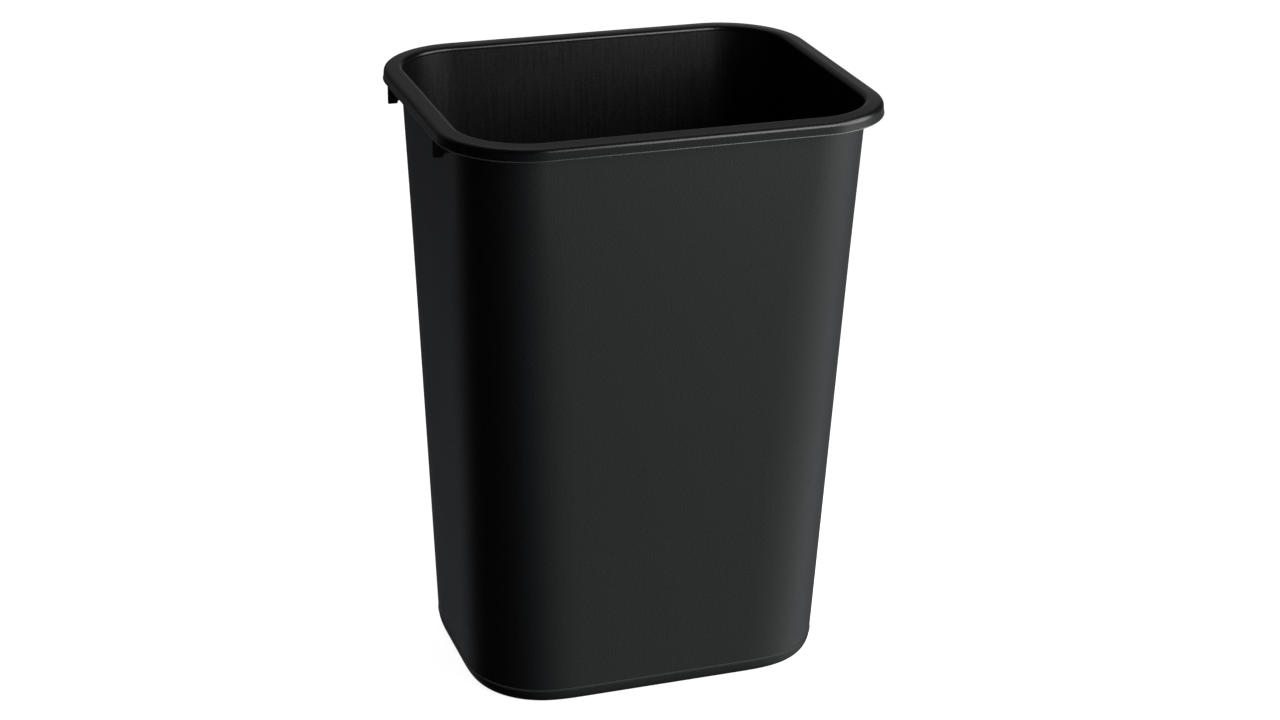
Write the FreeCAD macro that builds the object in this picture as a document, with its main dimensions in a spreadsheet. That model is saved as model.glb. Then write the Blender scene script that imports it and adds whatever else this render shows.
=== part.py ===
import FreeCAD, Part
import math
import os
import Sketcher

# A rectangular office wastebasket: one tapered, open-topped plastic moulding with large round
# corners, a turned-over rim that is hollow underneath, and small lugs under the rim that stop a
# nested stack from jamming. Its regions are separate solids that meet face to face.
# Millimetres, +Z up, the long side along X, the origin at the centre of the base on the ground.

document = FreeCAD.newDocument("Wastebasket")
sheet = document.addObject("Spreadsheet::Sheet", "Sizes")

drivingSizes = [
    ("basketHeight", 505.0, "ground to the top of the rim"),
    ("rimLength", 370.0, "rim outside, along X, at the skirt's lower edge"),
    ("rimWidth", 302.0, "rim outside, along Y, at the skirt's lower edge"),
    ("rimCorner", 72.0, "rim corner radius in plan, outside"),
    ("rimOverhang", 14.4, "wall face to rim edge at the top of the wall"),
    ("skirtDepth", 11.0, "top of the rim to the skirt's lower edge"),
    ("skirtThickness", 2.0, "rim skirt"),
    ("skirtDraft", 0.4, "how much further in the skirt's top is than its lower edge"),
    ("bandFall", 0.7, "how much lower the rim's flat top is at its outer side"),
    ("shoulderRadius", 4.5, "rim outer edge in section"),
    ("lipRadius", 4.2, "rim inner edge in section"),
    ("wallThickness", 2.2, "walls, floor and foot"),
    ("footLength", 310.0, "wall outside, along X, at the top of the foot"),
    ("footWidth", 224.0, "wall outside, along Y, at the top of the foot"),
    ("footCorner", 66.0, "foot corner radius in plan, outside"),
    ("footHeight", 13.5, "ground to where the tapered walls start"),
    ("footRadius", 7.0, "the foot's curve in section"),
    ("standingWidth", 12.5, "flat band that touches the ground"),
    ("floorRise", 1.0, "underside of the floor above the ground"),
    ("lugSpread", 145.0, "distance between the middles of the two lugs at one end"),
    ("lugThickness", 3.2, "lug plate"),
    ("lugDrop", 15.0, "lug below the skirt's lower edge"),
    ("lugInset", 0.2, "lug's outer edge behind the skirt's face"),
    ("notchRise", 3.2, "how much shorter the lug is beside the wall"),
    ("notchReach", 4.0, "how far out from the wall that shorter part goes"),
]
for row, (alias, millimetres, note) in enumerate(drivingSizes, start=1):
    sheet.set("A%d" % row, str(millimetres))
    sheet.setAlias("A%d" % row, alias)
    sheet.set("B%d" % row, note)
document.recompute()

# Worked-out sizes, as expressions on the sheet's cells.
rimX = "Sizes.rimLength / 2"
rimY = "Sizes.rimWidth / 2"
skirtFootZ = "Sizes.basketHeight - Sizes.skirtDepth"
shoulderX = rimX + " - Sizes.skirtDraft - Sizes.shoulderRadius"
shoulderZ = "Sizes.basketHeight - Sizes.bandFall - Sizes.shoulderRadius"
shoulderInner = "Sizes.shoulderRadius - Sizes.skirtThickness"
lipX = rimX + " - Sizes.rimOverhang - Sizes.wallThickness + Sizes.lipRadius"
lipInner = "Sizes.lipRadius - Sizes.wallThickness"
wallTopX = rimX + " - Sizes.rimOverhang"
wallTopY = rimY + " - Sizes.rimOverhang"
wallTopZ = "Sizes.basketHeight - Sizes.lipRadius"
wallTopCorner = "Sizes.rimCorner - Sizes.rimOverhang"
longRun = "Sizes.rimLength - 2 * Sizes.rimCorner"
endRun = "Sizes.rimWidth - 2 * Sizes.rimCorner"
footX = "Sizes.footLength / 2"
footY = "Sizes.footWidth / 2"
footInner = "Sizes.footRadius - Sizes.wallThickness"
footArcX = footX + " - Sizes.footRadius"
floorX = footX + " - Sizes.footRadius - Sizes.standingWidth"
floorY = footY + " - Sizes.footRadius - Sizes.standingWidth"
floorCorner = "Sizes.footCorner - Sizes.footRadius - Sizes.standingWidth"

origin = (-1, 1)
start, end, middle = 1, 2, 3


def size(expression):
    return float(sheet.evalExpression(expression))


def newBody(label):
    body = document.addObject("PartDesign::Body", label)
    body.Label = label
    body.Placement = FreeCAD.Placement()
    return body


def newSketch(body, name, planeRole, offset):
    # A sketch on one of the body's own planes, moved along its normal.
    plane = next(item for item in body.Origin.OriginFeatures if item.Role == planeRole)
    sketch = body.newObject("Sketcher::SketchObject", name)
    sketch.AttachmentSupport = [(plane, "")]
    sketch.MapMode = "FlatFace"
    sketch.setExpression("AttachmentOffset.Base.z", offset)
    return sketch


def bind(sketch, kind, places, expression):
    # A dimension whose value follows the sheet.
    index = sketch.addConstraint(Sketcher.Constraint(kind, *places, size(expression)))
    sketch.setExpression("Constraints[%d]" % index, expression)


def pin(sketch, point, across, up, quadrant=(1, 1)):
    # Fixes a point's distances from the sketch's origin, towards one quadrant.
    for kind, side, expression in zip(("DistanceX", "DistanceY"), quadrant, (across, up)):
        ends = (*origin, *point) if side > 0 else (*point, *origin)
        bind(sketch, kind, ends, expression)


def addQuarter(sketch, facing, across, up, radius, quadrant=(1, 1)):
    # A quarter circle that faces one way about a pinned centre. Returns the end that is level
    # with the centre and the end that is plumb with it, each as (geometry, end).
    first = {(1, 1): 0.0, (-1, 1): 0.5, (-1, -1): 1.0, (1, -1): 1.5}[facing] * math.pi
    place = FreeCAD.Vector(quadrant[0] * size(across), quadrant[1] * size(up), 0)
    circle = Part.Circle(place, FreeCAD.Vector(0, 0, 1), size(radius))
    arc = sketch.addGeometry(Part.ArcOfCircle(circle, first, first + math.pi / 2))
    pin(sketch, (arc, middle), across, up, quadrant)
    levelEnd, plumbEnd = (start, end) if facing[0] == facing[1] else (end, start)
    sketch.addConstraint(Sketcher.Constraint("Horizontal", arc, middle, arc, levelEnd))
    sketch.addConstraint(Sketcher.Constraint("Vertical", arc, middle, arc, plumbEnd))
    bind(sketch, "Radius", (arc,), radius)
    return (arc, levelEnd), (arc, plumbEnd)


def addLine(sketch, first, last):
    # A line between two existing points, each given as (geometry, end).
    line = sketch.addGeometry(Part.LineSegment(sketch.getPoint(*first), sketch.getPoint(*last)))
    sketch.addConstraint(Sketcher.Constraint("Coincident", line, start, *first))
    sketch.addConstraint(Sketcher.Constraint("Coincident", line, end, *last))
    return line


def addPolygon(sketch, corners):
    # A closed outline through corners given as (across, up, quadrant).
    places = [FreeCAD.Vector(q[0] * size(a), q[1] * size(u), 0) for a, u, q in corners]
    lines = []
    for number, place in enumerate(places):
        following = places[(number + 1) % len(places)]
        lines.append(sketch.addGeometry(Part.LineSegment(place, following)))
    for number, line in enumerate(lines):
        following = lines[(number + 1) % len(lines)]
        sketch.addConstraint(Sketcher.Constraint("Coincident", line, end, following, start))
    for line, (across, up, quadrant) in zip(lines, corners):
        pin(sketch, (line, start), across, up, quadrant)


def addRoundedOutline(sketch, halfX, halfY, radius):
    # A closed rectangle with round corners that starts at the middle of its +X side.
    centreX = "(%s) - (%s)" % (halfX, radius)
    centreY = "(%s) - (%s)" % (halfY, radius)
    quadrants = [(1, 1), (-1, 1), (-1, -1), (1, -1)]
    corners = [addQuarter(sketch, way, centreX, centreY, radius, way) for way in quadrants]
    (backRight, backLeft, frontLeft, frontRight) = corners
    beginning = FreeCAD.Vector(size(halfX), 0, 0)
    first = sketch.addGeometry(Part.LineSegment(beginning, sketch.getPoint(*backRight[0])))
    sketch.addConstraint(Sketcher.Constraint("Coincident", first, end, *backRight[0]))
    sketch.addConstraint(Sketcher.Constraint("Vertical", first))
    sketch.addConstraint(Sketcher.Constraint("PointOnObject", first, start, -1))
    addLine(sketch, backRight[1], backLeft[1])
    addLine(sketch, backLeft[0], frontLeft[0])
    addLine(sketch, frontLeft[1], frontRight[1])
    addLine(sketch, frontRight[0], (first, start))


def ringBody(label, pathZ, halfX, halfY, radius, drawSection):
    # A section carried round a level rounded rectangle.
    body = newBody(label)
    path = newSketch(body, label + "_path", "XY_Plane", pathZ)
    addRoundedOutline(path, halfX, halfY, radius)
    section = newSketch(body, label + "_section", "XZ_Plane", "0 mm")
    drawSection(section)
    document.recompute()
    sweep = body.newObject("PartDesign::AdditivePipe", label + "_sweep")
    sweep.Profile = section
    sweep.Spine = path
    body.Tip = sweep
    return body


def addPinnedLine(sketch, first, last, quadrant=(1, 1)):
    # A line between two pinned points, each given as (across, up).
    places = [FreeCAD.Vector(quadrant[0] * size(a), quadrant[1] * size(u), 0) for a, u in (first, last)]
    line = sketch.addGeometry(Part.LineSegment(*places))
    pin(sketch, (line, start), *first, quadrant)
    pin(sketch, (line, end), *last, quadrant)
    return line


def drawRim(sketch, half, side):
    # The turned-over rim: round inner lip, flat top, round shoulder, short skirt. half is the
    # rim's half size across this side, and side says which way it faces along the sketch.
    lipAcross = half + " - Sizes.rimOverhang - Sizes.wallThickness + Sizes.lipRadius"
    shoulderAcross = half + " - Sizes.skirtDraft - Sizes.shoulderRadius"
    way = (side, 1)
    inward = (-side, 1)
    lip = addQuarter(sketch, inward, lipAcross, wallTopZ, "Sizes.lipRadius", way)
    lipUnder = addQuarter(sketch, inward, lipAcross, wallTopZ, lipInner, way)
    shoulder = addQuarter(sketch, way, shoulderAcross, shoulderZ, "Sizes.shoulderRadius", way)
    shoulderUnder = addQuarter(sketch, way, shoulderAcross, shoulderZ, shoulderInner, way)
    skirtOutside = (half, skirtFootZ)
    skirtInside = (half + " - Sizes.skirtThickness", skirtFootZ)
    skirtFoot = addPinnedLine(sketch, skirtOutside, skirtInside, way)
    addLine(sketch, lip[1], shoulder[1])
    addLine(sketch, shoulder[0], (skirtFoot, start))
    addLine(sketch, (skirtFoot, end), shoulderUnder[0])
    addLine(sketch, shoulderUnder[1], lipUnder[1])
    addLine(sketch, lipUnder[0], lip[0])


def rimRun(label, planeRole, half, side, length):
    # A straight run of the rim, centred on one side of the basket.
    body = newBody(label)
    section = newSketch(body, label + "_section", planeRole, "0 mm")
    drawRim(section, half, side)
    document.recompute()
    run = body.newObject("PartDesign::Pad", label + "_run")
    run.Profile = section
    run.SideType = "Symmetric"
    run.setExpression("Length", length)
    body.Tip = run
    return body


def rimCorner(label, quadrant):
    # The same section turned a quarter of the way round a corner's upright axis.
    side, along = quadrant
    body = newBody(label)
    distance = "%d * ((%s) - Sizes.rimCorner)" % (-along, rimY)
    section = newSketch(body, label + "_section", "XZ_Plane", distance)
    drawRim(section, rimX, side)
    axisAcross = rimX + " - Sizes.rimCorner"
    axis = addPinnedLine(section, (axisAcross, skirtFootZ), (axisAcross, wallTopZ), (side, 1))
    section.toggleConstruction(axis)
    document.recompute()
    turn = body.newObject("PartDesign::Revolution", label + "_turn")
    turn.Profile = section
    turn.ReferenceAxis = (section, ["Axis0"])
    turn.Angle = 90
    turn.Reversed = side * along < 0
    body.Tip = turn
    return body


def drawFoot(sketch):
    # A short upright, then the wall curls under to a flat band that stands on the ground.
    outer = addQuarter(sketch, (1, -1), footArcX, "Sizes.footRadius", "Sizes.footRadius")
    inner = addQuarter(sketch, (1, -1), footArcX, "Sizes.footRadius", footInner)
    bandTop = FreeCAD.Vector(size(floorX), size("Sizes.wallThickness"), 0)
    bandFoot = FreeCAD.Vector(size(floorX), 0, 0)
    bandEdge = sketch.addGeometry(Part.LineSegment(bandTop, bandFoot))
    sketch.addConstraint(Sketcher.Constraint("Vertical", bandEdge))
    sketch.addConstraint(Sketcher.Constraint("PointOnObject", bandEdge, end, -1))
    pin(sketch, (bandEdge, start), floorX, "Sizes.wallThickness")
    wallFace = (footX, "Sizes.footHeight")
    wallInside = (footX + " - Sizes.wallThickness", "Sizes.footHeight")
    topEdge = addPinnedLine(sketch, wallFace, wallInside)
    addLine(sketch, outer[0], (topEdge, start))
    addLine(sketch, (topEdge, end), inner[0])
    addLine(sketch, inner[1], (bandEdge, start))
    addLine(sketch, (bandEdge, end), outer[1])


def loftBody(label, drawSection):
    # A wall region between the top of the foot and the start of the rim's bend. drawSection
    # takes the outline's half sizes, corner radius at that height, and draws the region there.
    body = newBody(label)
    lower = newSketch(body, label + "_lower", "XY_Plane", "Sizes.footHeight")
    drawSection(lower, footX, footY, "Sizes.footCorner")
    upper = newSketch(body, label + "_upper", "XY_Plane", wallTopZ)
    drawSection(upper, wallTopX, wallTopY, wallTopCorner)
    document.recompute()
    loft = body.newObject("PartDesign::AdditiveLoft", label + "_loft")
    loft.Profile = lower
    loft.Sections = [upper]
    loft.Ruled = True
    body.Tip = loft
    return body


def longWall(side):
    # The front (-1) or back (1) wall between its two round corners.
    def draw(sketch, halfX, halfY, radius):
        along = "(%s) - (%s)" % (halfX, radius)
        inside = "(%s) - Sizes.wallThickness" % halfY
        addPolygon(sketch, [
            (along, halfY, (-1, side)),
            (along, halfY, (1, side)),
            (along, inside, (1, side)),
            (along, inside, (-1, side)),
        ])
    return draw


def endWall(side):
    # The left (-1) or right (1) wall between its two round corners.
    def draw(sketch, halfX, halfY, radius):
        along = "(%s) - (%s)" % (halfY, radius)
        inside = "(%s) - Sizes.wallThickness" % halfX
        addPolygon(sketch, [
            (halfX, along, (side, -1)),
            (halfX, along, (side, 1)),
            (inside, along, (side, 1)),
            (inside, along, (side, -1)),
        ])
    return draw


def cornerWall(quadrant):
    # A quarter ring that tapers upwards with the walls beside it.
    def draw(sketch, halfX, halfY, radius):
        centreX = "(%s) - (%s)" % (halfX, radius)
        centreY = "(%s) - (%s)" % (halfY, radius)
        innerRadius = "(%s) - Sizes.wallThickness" % radius
        outer = addQuarter(sketch, quadrant, centreX, centreY, radius, quadrant)
        inner = addQuarter(sketch, quadrant, centreX, centreY, innerRadius, quadrant)
        addLine(sketch, outer[0], inner[0])
        addLine(sketch, inner[1], outer[1])
    return draw


def stackingLug(label, quadrant):
    # A plate across the rim's hollow that hangs below the skirt. It is shorter beside the wall.
    side, along = quadrant
    body = newBody(label)
    distance = "%d * Sizes.lugSpread / 2" % -along
    profile = newSketch(body, label + "_profile", "XZ_Plane", distance)
    skirtInnerTopX = rimX + " - Sizes.skirtDraft - Sizes.skirtThickness"
    skirtInnerFootX = rimX + " - Sizes.skirtThickness"
    lugOuterX = rimX + " - Sizes.lugInset"
    lugFootZ = skirtFootZ + " - Sizes.lugDrop"
    notchZ = lugFootZ + " + Sizes.notchRise"
    wallLean = "((%s) - (%s)) / ((%s) - Sizes.footHeight)" % (wallTopX, footX, wallTopZ)
    wallAtNotchX = "(%s) - ((%s) - (%s)) * %s" % (wallTopX, wallTopZ, notchZ, wallLean)
    notchX = "(%s) + Sizes.notchReach" % wallAtNotchX
    bandUnderZ = "Sizes.basketHeight - Sizes.wallThickness"
    addPolygon(profile, [
        (lugOuterX, lugFootZ, (side, 1)),
        (lugOuterX, skirtFootZ, (side, 1)),
        (skirtInnerFootX, skirtFootZ, (side, 1)),
        (skirtInnerTopX, shoulderZ, (side, 1)),
        (shoulderX, "%s + %s" % (shoulderZ, shoulderInner), (side, 1)),
        (lipX, bandUnderZ, (side, 1)),
        (wallTopX, wallTopZ, (side, 1)),
        (wallAtNotchX, notchZ, (side, 1)),
        (notchX, notchZ, (side, 1)),
        ("(%s) + Sizes.notchRise" % notchX, lugFootZ, (side, 1)),
    ])
    document.recompute()
    plate = body.newObject("PartDesign::Pad", label + "_plate")
    plate.Profile = profile
    plate.SideType = "Symmetric"
    plate.setExpression("Length", "Sizes.lugThickness")
    body.Tip = plate
    return body


def floorPanel(label):
    body = newBody(label)
    outline = newSketch(body, label + "_outline", "XY_Plane", "Sizes.floorRise")
    addRoundedOutline(outline, floorX, floorY, floorCorner)
    document.recompute()
    plate = body.newObject("PartDesign::Pad", label + "_plate")
    plate.Profile = outline
    plate.setExpression("Length", "Sizes.wallThickness")
    body.Tip = plate
    return body


ends = {"left": -1, "right": 1}
longSides = {"front": -1, "back": 1}

regions = [
    floorPanel("floor_panel"),
    ringBody("foot_curve", "Sizes.footHeight", footX, footY, "Sizes.footCorner", drawFoot),
]
for name, side in longSides.items():
    regions.append(loftBody(name + "_wall", longWall(side)))
    regions.append(rimRun(name + "_rim", "YZ_Plane", rimY, side, longRun))
for name, side in ends.items():
    regions.append(loftBody(name + "_wall", endWall(side)))
    regions.append(rimRun(name + "_rim", "XZ_Plane", rimX, side, endRun))
for longName, longSide in longSides.items():
    for endName, endSide in ends.items():
        place = "%s_%s" % (longName, endName)
        regions.append(loftBody(place + "_corner_wall", cornerWall((endSide, longSide))))
        regions.append(rimCorner(place + "_corner_rim", (endSide, longSide)))
        regions.append(stackingLug(place + "_stacking_lug", (endSide, longSide)))
document.recompute()

for item in document.Objects:
    if "Invalid" in item.State or "Error" in item.State:
        raise RuntimeError("%s did not build: %s" % (item.Name, item.State))
for body in regions:
    if body.Shape.isNull() or not body.Shape.isValid() or len(body.Shape.Solids) != 1:
        raise RuntimeError("%s is not one valid solid" % body.Label)

os.makedirs("parts", exist_ok=True)
for body in regions:
    body.Shape.exportStep("parts/%s.step" % body.Label)
    print("%-32s %10.1f mm3" % (body.Label, body.Shape.Volume))
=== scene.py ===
import math
import bmesh
import bpy
from mathutils import Matrix, Vector


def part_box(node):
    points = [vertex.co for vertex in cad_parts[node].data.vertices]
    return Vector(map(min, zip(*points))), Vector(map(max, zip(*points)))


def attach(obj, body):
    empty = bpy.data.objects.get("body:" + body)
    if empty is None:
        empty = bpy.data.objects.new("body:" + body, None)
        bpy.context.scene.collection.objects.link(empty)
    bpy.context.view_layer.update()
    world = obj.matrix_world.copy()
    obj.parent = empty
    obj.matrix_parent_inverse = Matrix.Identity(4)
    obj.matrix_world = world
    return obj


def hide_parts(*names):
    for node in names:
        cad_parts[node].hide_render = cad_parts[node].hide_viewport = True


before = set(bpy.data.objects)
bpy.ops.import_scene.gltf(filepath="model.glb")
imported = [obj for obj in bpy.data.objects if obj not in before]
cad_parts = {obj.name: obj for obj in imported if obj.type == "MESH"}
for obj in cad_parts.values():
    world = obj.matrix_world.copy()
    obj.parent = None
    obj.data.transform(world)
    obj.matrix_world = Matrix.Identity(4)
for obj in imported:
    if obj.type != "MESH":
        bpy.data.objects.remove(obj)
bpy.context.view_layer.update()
scene = bpy.context.scene
mm = 0.001
print("frame loaded:", len(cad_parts), "regions of one moulding")


class Wire:
    # One output of a node: arithmetic on it adds Math nodes to the same tree.
    def __init__(self, graph, socket):
        self.graph = graph
        self.socket = socket

    def math(self, operation, *values):
        places = dict(enumerate(values))
        return self.graph.add("ShaderNodeMath", {"operation": operation}, places)[0]

    def __add__(self, other):
        return self.math("ADD", self, other)

    def __radd__(self, other):
        return self.math("ADD", other, self)

    def __sub__(self, other):
        return self.math("SUBTRACT", self, other)

    def __rsub__(self, other):
        return self.math("SUBTRACT", other, self)

    def __mul__(self, other):
        return self.math("MULTIPLY", self, other)

    def __rmul__(self, other):
        return self.math("MULTIPLY", other, self)

    def __truediv__(self, other):
        return self.math("DIVIDE", self, other)

    def __rtruediv__(self, other):
        return self.math("DIVIDE", other, self)

    def __mod__(self, other):
        return self.math("FLOORED_MODULO", self, other)

    def __rmod__(self, other):
        return self.math("FLOORED_MODULO", other, self)

    def floor(self):
        return self.math("FLOOR", self)

    def round(self):
        return self.math("ROUND", self)

    def sign(self):
        return self.math("SIGN", self)

    def cos(self):
        return self.math("COSINE", self)

    def sin(self):
        return self.math("SINE", self)

    def exponent(self):
        return self.math("EXPONENT", self)

    def atLeast(self, other):
        return self.math("MAXIMUM", self, other)

    def atMost(self, other):
        return self.math("MINIMUM", self, other)

    def over(self, other):
        return self.math("GREATER_THAN", self, other)

    def between(self, low, high):
        # 0 below low, 1 above high, eased in between.
        settings = {"interpolation_type": "SMOOTHSTEP"}
        places = {"Value": self, "From Min": low, "From Max": high}
        return self.graph.add("ShaderNodeMapRange", settings, places)[0]


class Graph:
    # Builds one node tree, for a material, the world or a Geometry Nodes modifier.
    def __init__(self, tree):
        self.tree = tree

    def add(self, kind, settings=None, values=None):
        # settings first, because they decide which sockets there are; then values or links.
        node = self.tree.nodes.new(kind)
        for name, setting in (settings or {}).items():
            setattr(node, name, setting)
        for key, value in (values or {}).items():
            if isinstance(value, Wire):
                self.tree.links.new(value.socket, node.inputs[key])
            else:
                node.inputs[key].default_value = value
        return Outputs(self, node)

    def mixColor(self, share, first, second):
        places = {0: share, 6: first, 7: second}
        return self.add("ShaderNodeMix", {"data_type": "RGBA"}, places)[2]

    def noise(self, place, scale, detail=2.0, roughness=0.5):
        places = {"Vector": place, "Scale": scale, "Detail": detail, "Roughness": roughness}
        return self.add("ShaderNodeTexNoise", {}, places)[0]


class Outputs:
    # The outputs of a node just made, by name or number.
    def __init__(self, graph, node):
        self.graph = graph
        self.node = node

    def __getitem__(self, key):
        return Wire(self.graph, self.node.outputs[key])


def farCorner(node):
    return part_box(node)[1]


def nearCorner(node):
    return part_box(node)[0]


def addModifier(obj, tree, values):
    # Adds a Geometry Nodes modifier and sets its inputs by their sockets' identifiers.
    modifier = obj.modifiers.new(tree.name, "NODES")
    modifier.node_group = tree
    for item in tree.interface.items_tree:
        if item.item_type == "SOCKET" and item.in_out == "INPUT" and item.name in values:
            modifier[item.identifier] = values[item.name]


def bakeModifiers(obj, name):
    # Turns the evaluated result into a plain closed mesh with its faces outward.
    evaluated = obj.evaluated_get(bpy.context.evaluated_depsgraph_get())
    result = bpy.data.meshes.new_from_object(evaluated)
    obj.modifiers.clear()
    mesh = bmesh.new()
    mesh.from_mesh(result)
    loose = [edge for edge in mesh.edges if not edge.link_faces]
    bmesh.ops.delete(mesh, geom=loose, context="EDGES")
    bmesh.ops.recalc_face_normals(mesh, faces=mesh.faces)
    if mesh.calc_volume(signed=True) < 0:
        bmesh.ops.reverse_faces(mesh, faces=mesh.faces)
    openEdges = sum(not edge.is_manifold for edge in mesh.edges)
    mesh.to_mesh(result)
    mesh.free()
    obj.data = result
    obj.name = name
    result.name = name
    print(name, "has", len(result.polygons), "faces and", openEdges, "open edges")
    return obj


def newGeometryTree(name, inputs):
    # A Geometry Nodes group with one geometry in, one out, and named inputs.
    tree = bpy.data.node_groups.new(name, "GeometryNodeTree")
    tree.interface.new_socket("Geometry", in_out="INPUT", socket_type="NodeSocketGeometry")
    for label, kind in inputs:
        tree.interface.new_socket(label, in_out="INPUT", socket_type="NodeSocket" + kind)
    tree.interface.new_socket("Geometry", in_out="OUTPUT", socket_type="NodeSocketGeometry")
    graph = Graph(tree)
    return graph, graph.add("NodeGroupInput")


def endGeometryTree(graph, geometry, material):
    realized = graph.add("GeometryNodeRealizeInstances", {}, {"Geometry": geometry})[0]
    painted = graph.add("GeometryNodeSetMaterial", {}, {"Geometry": realized, "Material": material})[0]
    graph.add("NodeGroupOutput", {}, {"Geometry": painted})
    return graph.tree


ring = {
    "cornerSteps": 36,
    "sideSteps": 40,
    "plainCornersFrom": 0.7,  # share of the height where the easing of the corners starts to fade
    "mergeWithin": 0.005 * mm,
    "creaseAngle": math.radians(50),
}


def makeRingTree():
    # Carries a closed section round a tapering rectangle with round corners. A section point's
    # X is how far in from the outline it is and its Z is its height. Its shrink of less than 1
    # draws the ring in towards the middle, to close a floor. The plastics read whether a point is
    # inside, and how much painted highlight, a paler shade, it gets on the flash.
    graph, given = newGeometryTree("mouldedRing", [
        ("Lower Half X", "Float"), ("Lower Half Y", "Float"), ("Lower Corner", "Float"),
        ("Upper Half X", "Float"), ("Upper Half Y", "Float"), ("Upper Corner", "Float"),
        ("Lower Z", "Float"), ("Upper Z", "Float"), ("Ease", "Float"),
        ("Corner Steps", "Int"), ("Side Steps", "Int"), ("Material", "Material"),
    ])
    section = given["Geometry"]
    rows = graph.add("GeometryNodeAttributeDomainSize", {"component": "MESH"}, {"Geometry": section})[0]
    stepsPerQuarter = given["Corner Steps"] + given["Side Steps"]
    columns = stepsPerQuarter * 4
    sizes = {"Size X": 1.0, "Size Y": 1.0, "Vertices X": columns + 1, "Vertices Y": rows + 1}
    grid = graph.add("GeometryNodeMeshGrid", {}, sizes)["Mesh"]
    place = graph.add("ShaderNodeSeparateXYZ", {}, {0: graph.add("GeometryNodeInputPosition")[0]})
    column = ((place["X"] + 0.5) * columns).round()
    row = ((place["Y"] + 0.5) * rows).round() % rows

    def sampled(kind, value):
        places = {"Geometry": section, "Value": value, "Index": row}
        return graph.add("GeometryNodeSampleIndex", {"data_type": kind, "domain": "POINT"}, places)[0]

    def sectionNumber(name):
        attribute = graph.add("GeometryNodeInputNamedAttribute", {"data_type": "FLOAT"}, {"Name": name})[0]
        return sampled("FLOAT", attribute)

    sectionPlace = sampled("FLOAT_VECTOR", graph.add("GeometryNodeInputPosition")[0])
    inset = graph.add("ShaderNodeSeparateXYZ", {}, {0: sectionPlace})["X"]
    height = graph.add("ShaderNodeSeparateXYZ", {}, {0: sectionPlace})["Z"]
    rise = ((height - given["Lower Z"]) / (given["Upper Z"] - given["Lower Z"])).atLeast(0.0).atMost(1.0)

    def tapered(lower, upper):
        return lower + (upper - lower) * rise

    corner = tapered(given["Lower Corner"], given["Upper Corner"])
    centreX = tapered(given["Lower Half X"], given["Upper Half X"]) - corner
    centreY = tapered(given["Lower Half Y"], given["Upper Half Y"]) - corner
    quarter = (column / stepsPerQuarter + 0.0001).floor()
    step = column - quarter * stepsPerQuarter
    roundTheCorner = (step / given["Corner Steps"]).atMost(1.0)
    alongTheSide = ((step - given["Corner Steps"]) / given["Side Steps"]).atLeast(0.0)
    angle = (quarter + roundTheCorner) * (math.pi / 2)

    def acrossCentre(wave):
        # -1 or 1 in a corner, and from one to the other along the side that follows it.
        first = wave((quarter + 0.5) * (math.pi / 2)).sign()
        second = wave((quarter + 1.5) * (math.pi / 2)).sign()
        return first + (second - first) * alongTheSide

    # Where an arc meets a straight, the turn is spread over the ease length on both sides. It
    # fades out towards the rim, whose corners are plain arcs.
    ease = given["Ease"]
    inCorner = roundTheCorner.atMost(1.0 - roundTheCorner) * corner * (math.pi / 2)
    run = centreX * 2 + (centreY - centreX) * 2 * (quarter % 2)
    inSide = alongTheSide.atMost(1.0 - alongTheSide) * run
    before = (ease - inCorner).atLeast(0.0)
    after = (ease - inSide).atLeast(0.0)
    scaled = (corner * ease * 12).atLeast(0.000000001)
    whole = ease * ease * ease * 2
    onArc = before * before * before
    onSide = whole - after * after * after
    swell = onArc + (onSide - onArc) * alongTheSide.over(0.0)
    swell = (swell - whole * 0.5) / scaled * (1.0 - rise.between(ring["plainCornersFrom"], 1.0))
    shrink = sectionNumber("shrink")
    reach = corner - inset + swell
    x = (acrossCentre(Wire.cos) * centreX + angle.cos() * reach) * shrink
    y = (acrossCentre(Wire.sin) * centreY + angle.sin() * reach) * shrink
    moved = graph.add("ShaderNodeCombineXYZ", {}, {"X": x, "Y": y, "Z": height})[0]
    marked = grid
    for name in ("inside", "flashHighlight"):
        marked = graph.add("GeometryNodeStoreNamedAttribute", {"data_type": "FLOAT", "domain": "POINT"}, {
            "Geometry": marked, "Name": name, "Value": sectionNumber(name)})[0]
    shaped = graph.add("GeometryNodeSetPosition", {}, {"Geometry": marked, "Position": moved})[0]
    closed = graph.add("GeometryNodeMergeByDistance", {}, {
        "Geometry": shaped, "Distance": ring["mergeWithin"]})[0]
    smooth = graph.add("GeometryNodeSetShadeSmooth", {"domain": "FACE"}, {
        "Geometry": closed, "Shade Smooth": True})[0]
    creased = graph.add("GeometryNodeInputMeshEdgeAngle")["Unsigned Angle"].over(ring["creaseAngle"])
    sharp = graph.add("GeometryNodeSetShadeSmooth", {"domain": "EDGE"}, {
        "Geometry": smooth, "Selection": creased, "Shade Smooth": False})[0]
    return endGeometryTree(graph, sharp, given["Material"])


def arcPoints(centre, radius, fromDegrees, toDegrees, steps):
    # Points of an arc in the section: 0 degrees points out of the basket and 90 up.
    points = []
    for number in range(steps + 1):
        turn = math.radians(fromDegrees + (toDegrees - fromDegrees) * number / steps)
        points.append((centre[0] - radius * math.cos(turn), centre[1] + radius * math.sin(turn)))
    return points


def straightPoints(first, last, steps):
    # Points between two ends, without the ends.
    shares = [number / steps for number in range(1, steps)]
    return [(first[0] + (last[0] - first[0]) * k, first[1] + (last[1] - first[1]) * k) for k in shares]


def newObject(name, mesh):
    obj = bpy.data.objects.new(name, mesh)
    scene.collection.objects.link(obj)
    return obj


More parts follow.
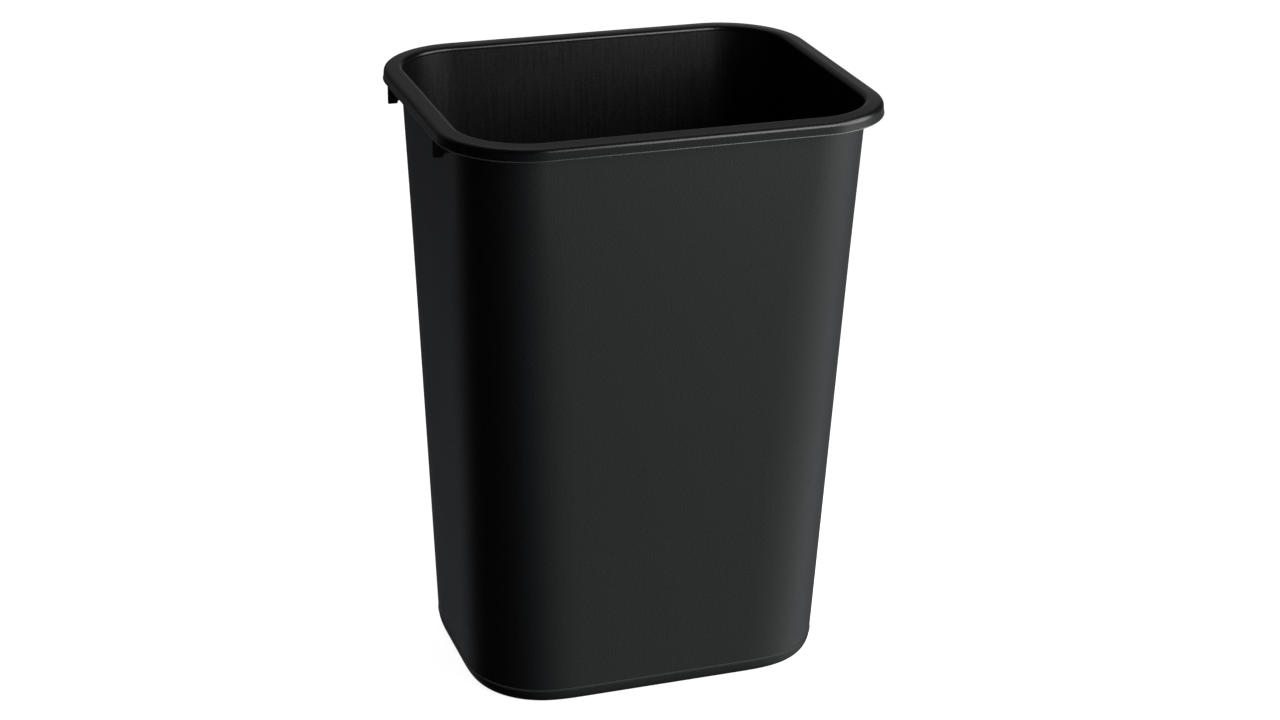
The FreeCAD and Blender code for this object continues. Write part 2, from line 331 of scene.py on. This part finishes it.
def mouldedRing(name, points, inside, outlines, material, shrink=None, flashHighlight=None, ease=0.0):
    # The section goes in as a loop of loose edges, with what the ring tree reads from each point.
    count = len(points)
    mesh = bpy.data.meshes.new(name)
    edges = [(number, (number + 1) % count) for number in range(count)]
    mesh.from_pydata([(inset, 0, height) for inset, height in points], edges, [])
    numbers = {"inside": inside, "shrink": shrink or [1.0] * count, "flashHighlight": flashHighlight or [0.0] * count}
    for label, values in numbers.items():
        mesh.attributes.new(label, "FLOAT", "POINT").data.foreach_set("value", values)
    obj = newObject(name, mesh)
    lower, upper = outlines
    addModifier(obj, ringTree, {
        "Lower Half X": lower["half"].x, "Lower Half Y": lower["half"].y,
        "Lower Corner": lower["corner"], "Lower Z": lower["z"],
        "Upper Half X": upper["half"].x, "Upper Half Y": upper["half"].y,
        "Upper Corner": upper["corner"], "Upper Z": upper["z"],
        "Corner Steps": ring["cornerSteps"], "Side Steps": ring["sideSteps"],
        "Ease": ease, "Material": material,
    })
    return bakeModifiers(obj, name)


ringTree = makeRingTree()
print("ring tree made")


def newMaterial(name):
    material = bpy.data.materials.new(name)
    material.use_nodes = True
    material.node_tree.nodes.clear()
    return material, Graph(material.node_tree)


# What the walls look like, and what the other plastics start from. Scales are per metre.
wallLook = {
    "color": (0.0016, 0.0017, 0.0018, 1),
    "wornColor": (0.012, 0.012, 0.012, 1),
    # the flash's paler shade is a painted highlight, not the plastic's own colour
    "flashColor": (0.035, 0.035, 0.035, 1),
    "specular": 0.5,
    "roughness": 0.45,
    "insideGloss": -0.08,
    "patchScale": 9.0,
    "patchiness": 0.06,
    "grainScale": 720.0,
    "grainDepth": 0.00018,
    "grainGloss": 0.2,
    "insideSmoothness": 0.7,
    "drawScale": 420.0,
    "drawStretch": 0.03,
    "drawGloss": 0.16,
    "drawDepth": 0.00002,
    "scuffScale": 160.0,
    "scuffHeight": 60 * mm,
    "footScuff": 0.25,
    "scuff": 0.05,
    "scuffEdge": (0.6, 0.74),
    "scuffGloss": 0.12,
    "scuffDepth": 0.00001,
    "dustScale": 900.0,
    "dustEdge": (0.68, 0.8),
    "dust": 0.25,
}
rimLook = {
    **wallLook,
    "roughness": 0.28,
    "patchiness": 0.03,
    "grainScale": 1300.0,
    "grainDepth": 0.000012,
    "scuff": 0.12,
}
baseLook = {**wallLook, "specular": 0.36, "roughness": 0.46, "grainDepth": 0.0001, "footScuff": 0.4}
lugLook = {**wallLook, "specular": 0.12, "roughness": 0.75, "grainDepth": 0.00002}


def plastic(name, look):
    # Dark moulded plastic: a fine grain, a slow change of gloss, scuffs and dust, upright drawing
    # marks on the inside, and a painted highlight on the flash: a paler shade that makes it read as a lit
    # hairline.
    material, graph = newMaterial(name)
    place = graph.add("ShaderNodeTexCoord")["Object"]
    height = graph.add("ShaderNodeSeparateXYZ", {}, {0: place})["Z"]
    inside = graph.add("ShaderNodeAttribute", {"attribute_name": "inside"})["Fac"]
    flashHighlight = graph.add("ShaderNodeAttribute", {"attribute_name": "flashHighlight"})["Fac"]
    grain = graph.noise(place, look["grainScale"], detail=2.0, roughness=0.6) - 0.5
    patches = graph.noise(place, look["patchScale"], detail=3.0, roughness=0.55) - 0.5
    stretch = {"Vector": place, "Scale": (1.0, 1.0, look["drawStretch"])}
    upright = graph.add("ShaderNodeMapping", {}, stretch)[0]
    drawMarks = (graph.noise(upright, look["drawScale"], detail=2.0, roughness=0.6) - 0.5) * inside
    low = 1.0 - height.between(0.0, look["scuffHeight"])
    scuffs = graph.noise(place, look["scuffScale"], detail=5.0, roughness=0.7)
    scuffs = scuffs.between(*look["scuffEdge"]) * (low * look["footScuff"] + look["scuff"])
    dust = graph.noise(place, look["dustScale"], detail=1.0, roughness=0.5)
    dust = dust.between(*look["dustEdge"]) * look["dust"]
    shade = graph.mixColor(scuffs + dust, look["color"], look["wornColor"])
    # Painted highlight: the flash fin and the base's bead get a paler shade in place of the light they
    # catch.
    shade = graph.mixColor(flashHighlight, shade, look["flashColor"])
    gloss = look["roughness"] + patches * look["patchiness"] + scuffs * look["scuffGloss"]
    gloss = gloss + inside * look["insideGloss"] + drawMarks * look["drawGloss"] + grain * look["grainGloss"]
    relief = grain * (1.0 - inside * look["insideSmoothness"]) * look["grainDepth"]
    relief = relief + drawMarks * look["drawDepth"] - scuffs * look["scuffDepth"]
    bump = graph.add("ShaderNodeBump", {}, {"Strength": 1.0, "Distance": 1.0, "Height": relief})[0]
    surface = graph.add("ShaderNodeBsdfPrincipled", {}, {
        "Base Color": shade, "Roughness": gloss, "Normal": bump,
        "Specular IOR Level": look["specular"]})[0]
    graph.add("ShaderNodeOutputMaterial", {}, {"Surface": surface})
    return material


wallPlastic = plastic("wall plastic", wallLook)
rimPlastic = plastic("rim plastic", rimLook)
lugPlastic = plastic("lug plastic", lugLook)
basePlastic = plastic("base plastic", baseLook)
print("plastics made")

# Half sizes of the outlines that the pieces follow, outside.
rimHalf = Vector((farCorner("right_rim").x, farCorner("back_rim").y))
wallTopHalf = Vector((farCorner("right_wall").x, farCorner("back_wall").y))
footHalf = farCorner("foot_curve").xy

walls = {
    "thickness": footHalf.x - nearCorner("right_wall").x,
    "footZ": nearCorner("front_wall").z,
    "topZ": farCorner("front_wall").z,
    "seamZ": 500 * mm,  # where the rim piece takes over from the walls
    "footCorner": footHalf.x - nearCorner("front_right_corner_wall").x,
    "topCorner": wallTopHalf.x - farCorner("front_wall").x,
    "ease": 22 * mm,
    "rows": 30,
}
footOutline = {"half": footHalf, "corner": walls["footCorner"], "z": walls["footZ"]}
wallTopOutline = {"half": wallTopHalf, "corner": walls["topCorner"], "z": walls["topZ"]}


def makeWalls():
    thickness, low, high = walls["thickness"], walls["footZ"], walls["seamZ"]
    outside = [(0.0, low)] + straightPoints((0.0, low), (0.0, high), walls["rows"]) + [(0.0, high)]
    inner = [(thickness, height) for _, height in reversed(outside)]
    inside = [0.0] * len(outside) + [1.0] * len(inner)
    outlines = (footOutline, wallTopOutline)
    return mouldedRing("walls", outside + inner, inside, outlines, wallPlastic, ease=walls["ease"])


wallPiece = makeWalls()

rim = {
    "topZ": farCorner("front_rim").z,
    "footZ": nearCorner("front_rim").z,
    "corner": rimHalf.x - farCorner("front_rim").x,
    "overhang": rimHalf.x - wallTopHalf.x,
    "lipRadius": farCorner("front_rim").z - walls["topZ"],
    "shoulderRadius": 4.5 * mm,
    "skirtThickness": 2.0 * mm,
    "skirtDraft": 0.4 * mm,
    "bandFall": 0.7 * mm,
    "edgeRound": 0.35 * mm,
    "flashOut": 0.35 * mm,
    "flashTall": 0.7 * mm,
    "flashStep": 0.03 * mm,
    "outsideSteps": 14,
    "undersideSteps": 8,
    "edgeSteps": 4,
    "topSteps": 6,
}
rimOutline = {"half": rimHalf, "corner": rim["corner"], "z": rim["topZ"]}


def makeRim():
    # The section runs from the wall, under the rim to the skirt's edge, up over the flash and the
    # shoulder, along the flat top and down the lip.
    top, foot, seam = rim["topZ"], rim["footZ"], walls["seamZ"]
    taper = (wallTopHalf.x - footHalf.x) / (walls["topZ"] - walls["footZ"])
    lean = (walls["topZ"] - seam) * taper
    wallOut, wallIn = rim["overhang"], rim["overhang"] + walls["thickness"]
    lipRadius, lipUnder = rim["lipRadius"], rim["lipRadius"] - walls["thickness"]
    lipCentre = (wallIn - lipRadius, top - lipRadius)
    shoulder, skirt, edge = rim["shoulderRadius"], rim["skirtThickness"], rim["edgeRound"]
    shoulderCentre = (rim["skirtDraft"] + shoulder, top - rim["bandFall"] - shoulder)
    underside = [(wallOut + lean, seam)]
    underside += arcPoints(lipCentre, lipUnder, 180, 90, rim["undersideSteps"])
    underside += arcPoints(shoulderCentre, shoulder - skirt, 90, 0, rim["undersideSteps"])
    underside += arcPoints((skirt - edge, foot + edge), edge, 180, 270, rim["edgeSteps"])
    finShape = ((0.0, 0.0), (0.8, 0.1), (1.0, 0.3), (0.5, 0.62), (0.0, 1.0))  # shares out and up
    fin = [(-out * rim["flashOut"], foot + up * rim["flashTall"]) for out, up in finShape]
    outside = [(rim["flashStep"], foot + 1.4 * rim["flashTall"])]
    outside += arcPoints(shoulderCentre, shoulder, 0, 90, rim["outsideSteps"])
    outside += straightPoints(outside[-1], (lipCentre[0], top), rim["topSteps"])
    outside += arcPoints(lipCentre, lipRadius, 90, 180, rim["outsideSteps"])
    outside += [(wallIn + lean, seam)]
    points = underside + fin + outside
    # The fin's points get the full painted highlight, a paler shade.
    flashHighlight = [0.0] * len(underside) + [1.0] * len(fin) + [0.0] * len(outside)
    outlines = (dict(rimOutline, z=foot), rimOutline)
    return mouldedRing("rim", points, [0.0] * len(points), outlines, rimPlastic, flashHighlight=flashHighlight)


rimPiece = makeRim()

base = {
    "floorHalf": farCorner("floor_panel").xy,
    "floorLowZ": nearCorner("floor_panel").z,
    "floorHighZ": farCorner("floor_panel").z,
    "floorRings": 14,
    "dome": 1.6 * mm,
    "reach": 7 * mm,  # how far the curve goes in under the wall
    "bandEdge": 0.6 * mm,
    "bandRise": 0.3 * mm,
    "beadRadius": 0.35 * mm,
    "beadDrop": 0.56 * mm,
    # share of the painted highlight, a paler shade, on the bead
    "beadFlash": 0.6,
    "beadSteps": 8,
    "curveSteps": 14,
}


def makeBase():
    high, thickness, reach = walls["footZ"], walls["thickness"], base["reach"]
    floorInset = footHalf.x - base["floorHalf"].x

    def underCurve(depth, fromDegrees, toDegrees):
        # The curve under the wall, a quarter ellipse, at a depth below its outer face.
        across, up = reach - depth, high - depth
        turns = arcPoints((0.0, 0.0), 1.0, fromDegrees, toDegrees, base["curveSteps"])
        return [(reach + out * across, high + rise * up) for out, rise in turns]

    # The bead is the fine parting line at the top of the base. The curve starts below it.
    bead = arcPoints((0.0, high - base["beadDrop"]), base["beadRadius"], 70, -70, base["beadSteps"])
    outer = [(0.0, high)] + bead + underCurve(0.0, -12, -90)
    outer += [(floorInset - base["bandEdge"], 0.0), (floorInset, base["bandRise"])]
    shares = [1.0 - number / base["floorRings"] for number in range(base["floorRings"] + 1)]

    def domed(height, share):
        return (floorInset, height + base["dome"] * (1 - share * share))

    under = [domed(base["floorLowZ"], share) for share in shares]
    over = [domed(base["floorHighZ"], share) for share in reversed(shares)]
    inner = underCurve(thickness, -90, 0)
    points = outer + under + over + inner
    inside = [0.0] * (len(outer) + len(under)) + [1.0] * (len(over) + len(inner))
    shrink = [1.0] * len(outer) + shares + shares[::-1] + [1.0] * len(inner)
    # The bead gets part of the painted highlight, a paler shade.
    flashHighlight = [0.0] + [base["beadFlash"]] * len(bead)
    flashHighlight += [0.0] * (len(points) - len(flashHighlight))
    outlines = (footOutline, wallTopOutline)
    return mouldedRing("base", points, inside, outlines, basePlastic, shrink, flashHighlight, walls["ease"])


basePiece = makeBase()

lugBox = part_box("back_right_stacking_lug")
lug = {
    "spread": lugBox[1].y + lugBox[0].y,
    "thickness": lugBox[1].y - lugBox[0].y,
    "innerX": lugBox[0].x,
    "outerX": lugBox[1].x,
    "lowZ": lugBox[0].z,
    "highZ": lugBox[1].z,
    "draft": 0.4 * mm,
    "shoulderFall": 0.5 * mm,
    "shoulderBend": 2.5 * mm,
    "lipAcross": 1.96 * mm,
    "lipBend": 2.0 * mm,
    "wallLean": 0.64 * mm,
    "notchRise": 3.2 * mm,
    "notchReach": 4.0 * mm,
    "notchSteps": 6,
    "edge": 0.3 * mm,
}


def lugPlate():
    # One plate under the rim, in the middle of the right end, with a round notch at the wall.
    inner, outer, low, high = lug["innerX"], lug["outerX"], lug["lowZ"], lug["highZ"]
    rise, reach, lean = lug["notchRise"], lug["notchReach"], lug["wallLean"]
    skirtInside = rimHalf.x - rim["skirtThickness"]
    shoulderX, shoulderZ = skirtInside - lug["draft"], high - lug["shoulderFall"]
    profile = [(outer, low), (outer, rim["footZ"]), (skirtInside, rim["footZ"])]
    profile += [(shoulderX, shoulderZ - lug["shoulderBend"]), (shoulderX - lug["shoulderBend"], shoulderZ)]
    profile += [(inner + lean + lug["lipAcross"], high), (inner + lean, high - lug["lipBend"])]
    profile += [(inner, low + rise), (inner + reach, low + rise)]
    for number in range(1, lug["notchSteps"]):
        turn = math.pi / 2 * number / lug["notchSteps"]
        profile.append((inner + reach + rise * math.sin(turn), low + rise * math.cos(turn)))
    profile += [(inner + reach + rise, low)]
    mesh = bmesh.new()
    corners = [mesh.verts.new((x, -lug["thickness"] / 2, z)) for x, z in profile]
    face = mesh.faces.new(corners)
    extruded = bmesh.ops.extrude_face_region(mesh, geom=[face])["geom"]
    moved = [item for item in extruded if isinstance(item, bmesh.types.BMVert)]
    bmesh.ops.translate(mesh, verts=moved, vec=(0, lug["thickness"], 0))
    bmesh.ops.bevel(mesh, geom=mesh.edges[:], offset=lug["edge"], segments=2, affect="EDGES", profile=0.5)
    for face in mesh.faces:
        face.smooth = True
    plate = bpy.data.meshes.new("lugs")
    mesh.to_mesh(plate)
    mesh.free()
    return plate


def makeLugTree():
    # Sets the plate at both ends of a line, and again turned half round for the other end wall.
    graph, given = newGeometryTree("lugPairs", [("Spread", "Float"), ("Material", "Material")])
    spread = given["Spread"]
    first = graph.add("ShaderNodeCombineXYZ", {}, {"Y": spread * -0.5})[0]
    step = graph.add("ShaderNodeCombineXYZ", {}, {"Y": spread})[0]
    line = graph.add("GeometryNodeMeshLine", {}, {"Count": 2, "Start Location": first, "Offset": step})[0]
    pair = graph.add("GeometryNodeInstanceOnPoints", {}, {"Points": line, "Instance": given["Geometry"]})[0]
    turned = graph.add("GeometryNodeTransform", {}, {"Geometry": pair, "Rotation": (0, 0, math.pi)})[0]
    joined = graph.add("GeometryNodeJoinGeometry", {}, {0: pair})
    graph.tree.links.new(turned.socket, joined.node.inputs[0])
    return endGeometryTree(graph, joined[0], given["Material"])


def makeLugs():
    obj = newObject("lugs", lugPlate())
    addModifier(obj, makeLugTree(), {"Spread": lug["spread"], "Material": lugPlastic})
    return bakeModifiers(obj, "lugs")


lugPiece = makeLugs()
print("pieces made")

sides = ("front", "back", "left", "right")
corners = ("front_left_corner", "front_right_corner", "back_left_corner", "back_right_corner")
lugNodes = [f"{end}_{side}_stacking_lug" for end in ("front", "back") for side in ("left", "right")]
places = (
    (wallPiece, "wall_plastic", [f"{part}_wall" for part in sides + corners]),
    (rimPiece, "rim_plastic", [f"{part}_rim" for part in sides + corners]),
    (basePiece, "base_plastic", ["foot_curve", "floor_panel"]),
    (lugPiece, "rim_plastic", lugNodes),
)
for piece, slotName, nodes in places:
    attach(piece, "root")
    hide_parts(*nodes)
print("pieces placed")

floorLook = {
    "half": 20.0,
    "color": (0.9, 0.9, 0.9, 1),
    "patchColor": (0.8, 0.8, 0.8, 1),
    "patchScale": 3.0,
    "patchiness": 0.05,
    "roughness": 0.9,
    "glow": 0.93,
}


def makeFloor():
    # A pale floor that glows a little. The plastic doesn't reflect it or take light from it.
    half = floorLook["half"]
    corners = [(-half, -half, 0), (half, -half, 0), (half, half, 0), (-half, half, 0)]
    mesh = bpy.data.meshes.new("floor")
    mesh.from_pydata(corners, [], [(0, 1, 2, 3)])
    material, graph = newMaterial("pale floor")
    place = graph.add("ShaderNodeTexCoord")["Object"]
    patches = graph.noise(place, floorLook["patchScale"]) * floorLook["patchiness"]
    surface = graph.add("ShaderNodeBsdfPrincipled", {}, {
        "Base Color": graph.mixColor(patches, floorLook["color"], floorLook["patchColor"]),
        "Roughness": floorLook["roughness"], "Specular IOR Level": 0.0,
        "Emission Color": (1, 1, 1, 1), "Emission Strength": floorLook["glow"]})[0]
    graph.add("ShaderNodeOutputMaterial", {}, {"Surface": surface})
    material.cycles.emission_sampling = "NONE"
    mesh.materials.append(material)
    floor = newObject("floor", mesh)
    floor.visible_glossy = False
    floor.visible_shadow = False


# Soft lights far away, each as azimuth from the front towards the right, elevation, sharpness,
# strength and tint. Dark plastic shows mostly what is round it, so they're set by direction.
sky = {
    "dim": (0.002, 0.002, 0.0025),
    "tints": {
        "neutral": (1.0, 1.0, 1.0),
        "green": (0.97, 1.03, 1.0),
        "cool": (0.95, 0.99, 1.06),
        "blue": (0.85, 0.95, 1.3),
    },
    "lights": {
        "leftLow": (-15, -30, 14, 0.1, "blue"),
        "frontLow": (30, -30, 10, 0.54, "green"),
        "keyLow": (60, -30, 10, 0.88, "green"),
        "rightLow": (90, -33, 14, 0.8, "cool"),
        "backRight": (142, -24, 14, 0.2, "neutral"),
        "backLow": (195, -34, 24, 0.22, "cool"),
        "backLeft": (202, 22, 10, 0.1, "neutral"),
        "backLevel": (155, 4, 40, 0.26, "neutral"),
        "backMid": (165, 30, 12, 0.06, "neutral"),
        "backHigh": (180, 60, 10, 0.4, "neutral"),
        "overhead": (140, 74, 12, 0.42, "neutral"),
    },
}


def makeWorld():
    world = bpy.data.worlds.new("studio")
    world.use_nodes = True
    world.node_tree.nodes.clear()
    graph = Graph(world.node_tree)
    direction = graph.add("ShaderNodeTexCoord")["Generated"]
    glow = sky["dim"]
    for azimuth, elevation, sharpness, strength, tintName in sky["lights"].values():
        turn, lift = math.radians(azimuth), math.radians(elevation)
        axis = (math.sin(turn) * math.cos(lift), -math.cos(turn) * math.cos(lift), math.sin(lift))
        aimed = graph.add("ShaderNodeVectorMath", {"operation": "DOT_PRODUCT"}, {0: direction, 1: axis})
        lobe = ((aimed["Value"] - 1.0) * sharpness).exponent() * strength
        added = {0: lobe, 1: sky["tints"][tintName], 2: glow}
        glow = graph.add("ShaderNodeVectorMath", {"operation": "MULTIPLY_ADD"}, added)[0]
    background = graph.add("ShaderNodeBackground", {}, {"Color": glow, "Strength": 1.0})[0]
    graph.add("ShaderNodeOutputWorld", {}, {"Surface": background})
    scene.world = world


# Softboxes, each as azimuth, distance, height, side and watts. They face aimZ over the origin.
softboxes = {
    "key": (60, 0.8, 0.68, 0.6, 4.9),
    "front": (25, 0.9, 0.8, 0.42, 3.6),
}
aimZ = 0.3


def makeSoftbox(name, azimuth, distance, height, side, watts):
    light = bpy.data.lights.new(name, "AREA")
    light.shape = "SQUARE"
    light.size = side
    light.energy = watts
    turn = math.radians(azimuth)
    place = Vector((math.sin(turn) * distance, -math.cos(turn) * distance, height))
    box = bpy.data.objects.new(name, light)
    box.location = place
    box.rotation_euler = (Vector((0, 0, aimZ)) - place).to_track_quat("-Z", "Y").to_euler()
    box.visible_camera = False
    scene.collection.objects.link(box)


view = {
    "azimuth": -19.106,
    "elevation": 22.858,
    "roll": 0.867,
    "distance": 2.2573,
    "targetSide": 0.0117,
    "targetZ": 0.2572,
    "lens": 74.57,
    "sensor": 36,
}


def makeCamera():
    turn, lift, roll = (math.radians(view[name]) for name in ("azimuth", "elevation", "roll"))
    back = Vector((math.sin(turn) * math.cos(lift), -math.cos(turn) * math.cos(lift), math.sin(lift)))
    level = Vector((math.cos(turn), math.sin(turn), 0))
    upright = back.cross(level)
    right = level * math.cos(roll) + upright * math.sin(roll)
    up = upright * math.cos(roll) - level * math.sin(roll)
    target = level * view["targetSide"] + Vector((0, 0, view["targetZ"]))
    data = bpy.data.cameras.new("camera")
    data.sensor_width = view["sensor"]
    data.lens = view["lens"]
    camera = bpy.data.objects.new("camera", data)
    scene.collection.objects.link(camera)
    turned = Matrix((right, up, back)).transposed().to_4x4()
    camera.matrix_world = Matrix.Translation(target + back * view["distance"]) @ turned
    scene.camera = camera


makeFloor()
makeWorld()
for name, facts in softboxes.items():
    makeSoftbox(name + " softbox", *facts)
makeCamera()
scene.view_settings.view_transform = "Standard"
print("studio made")
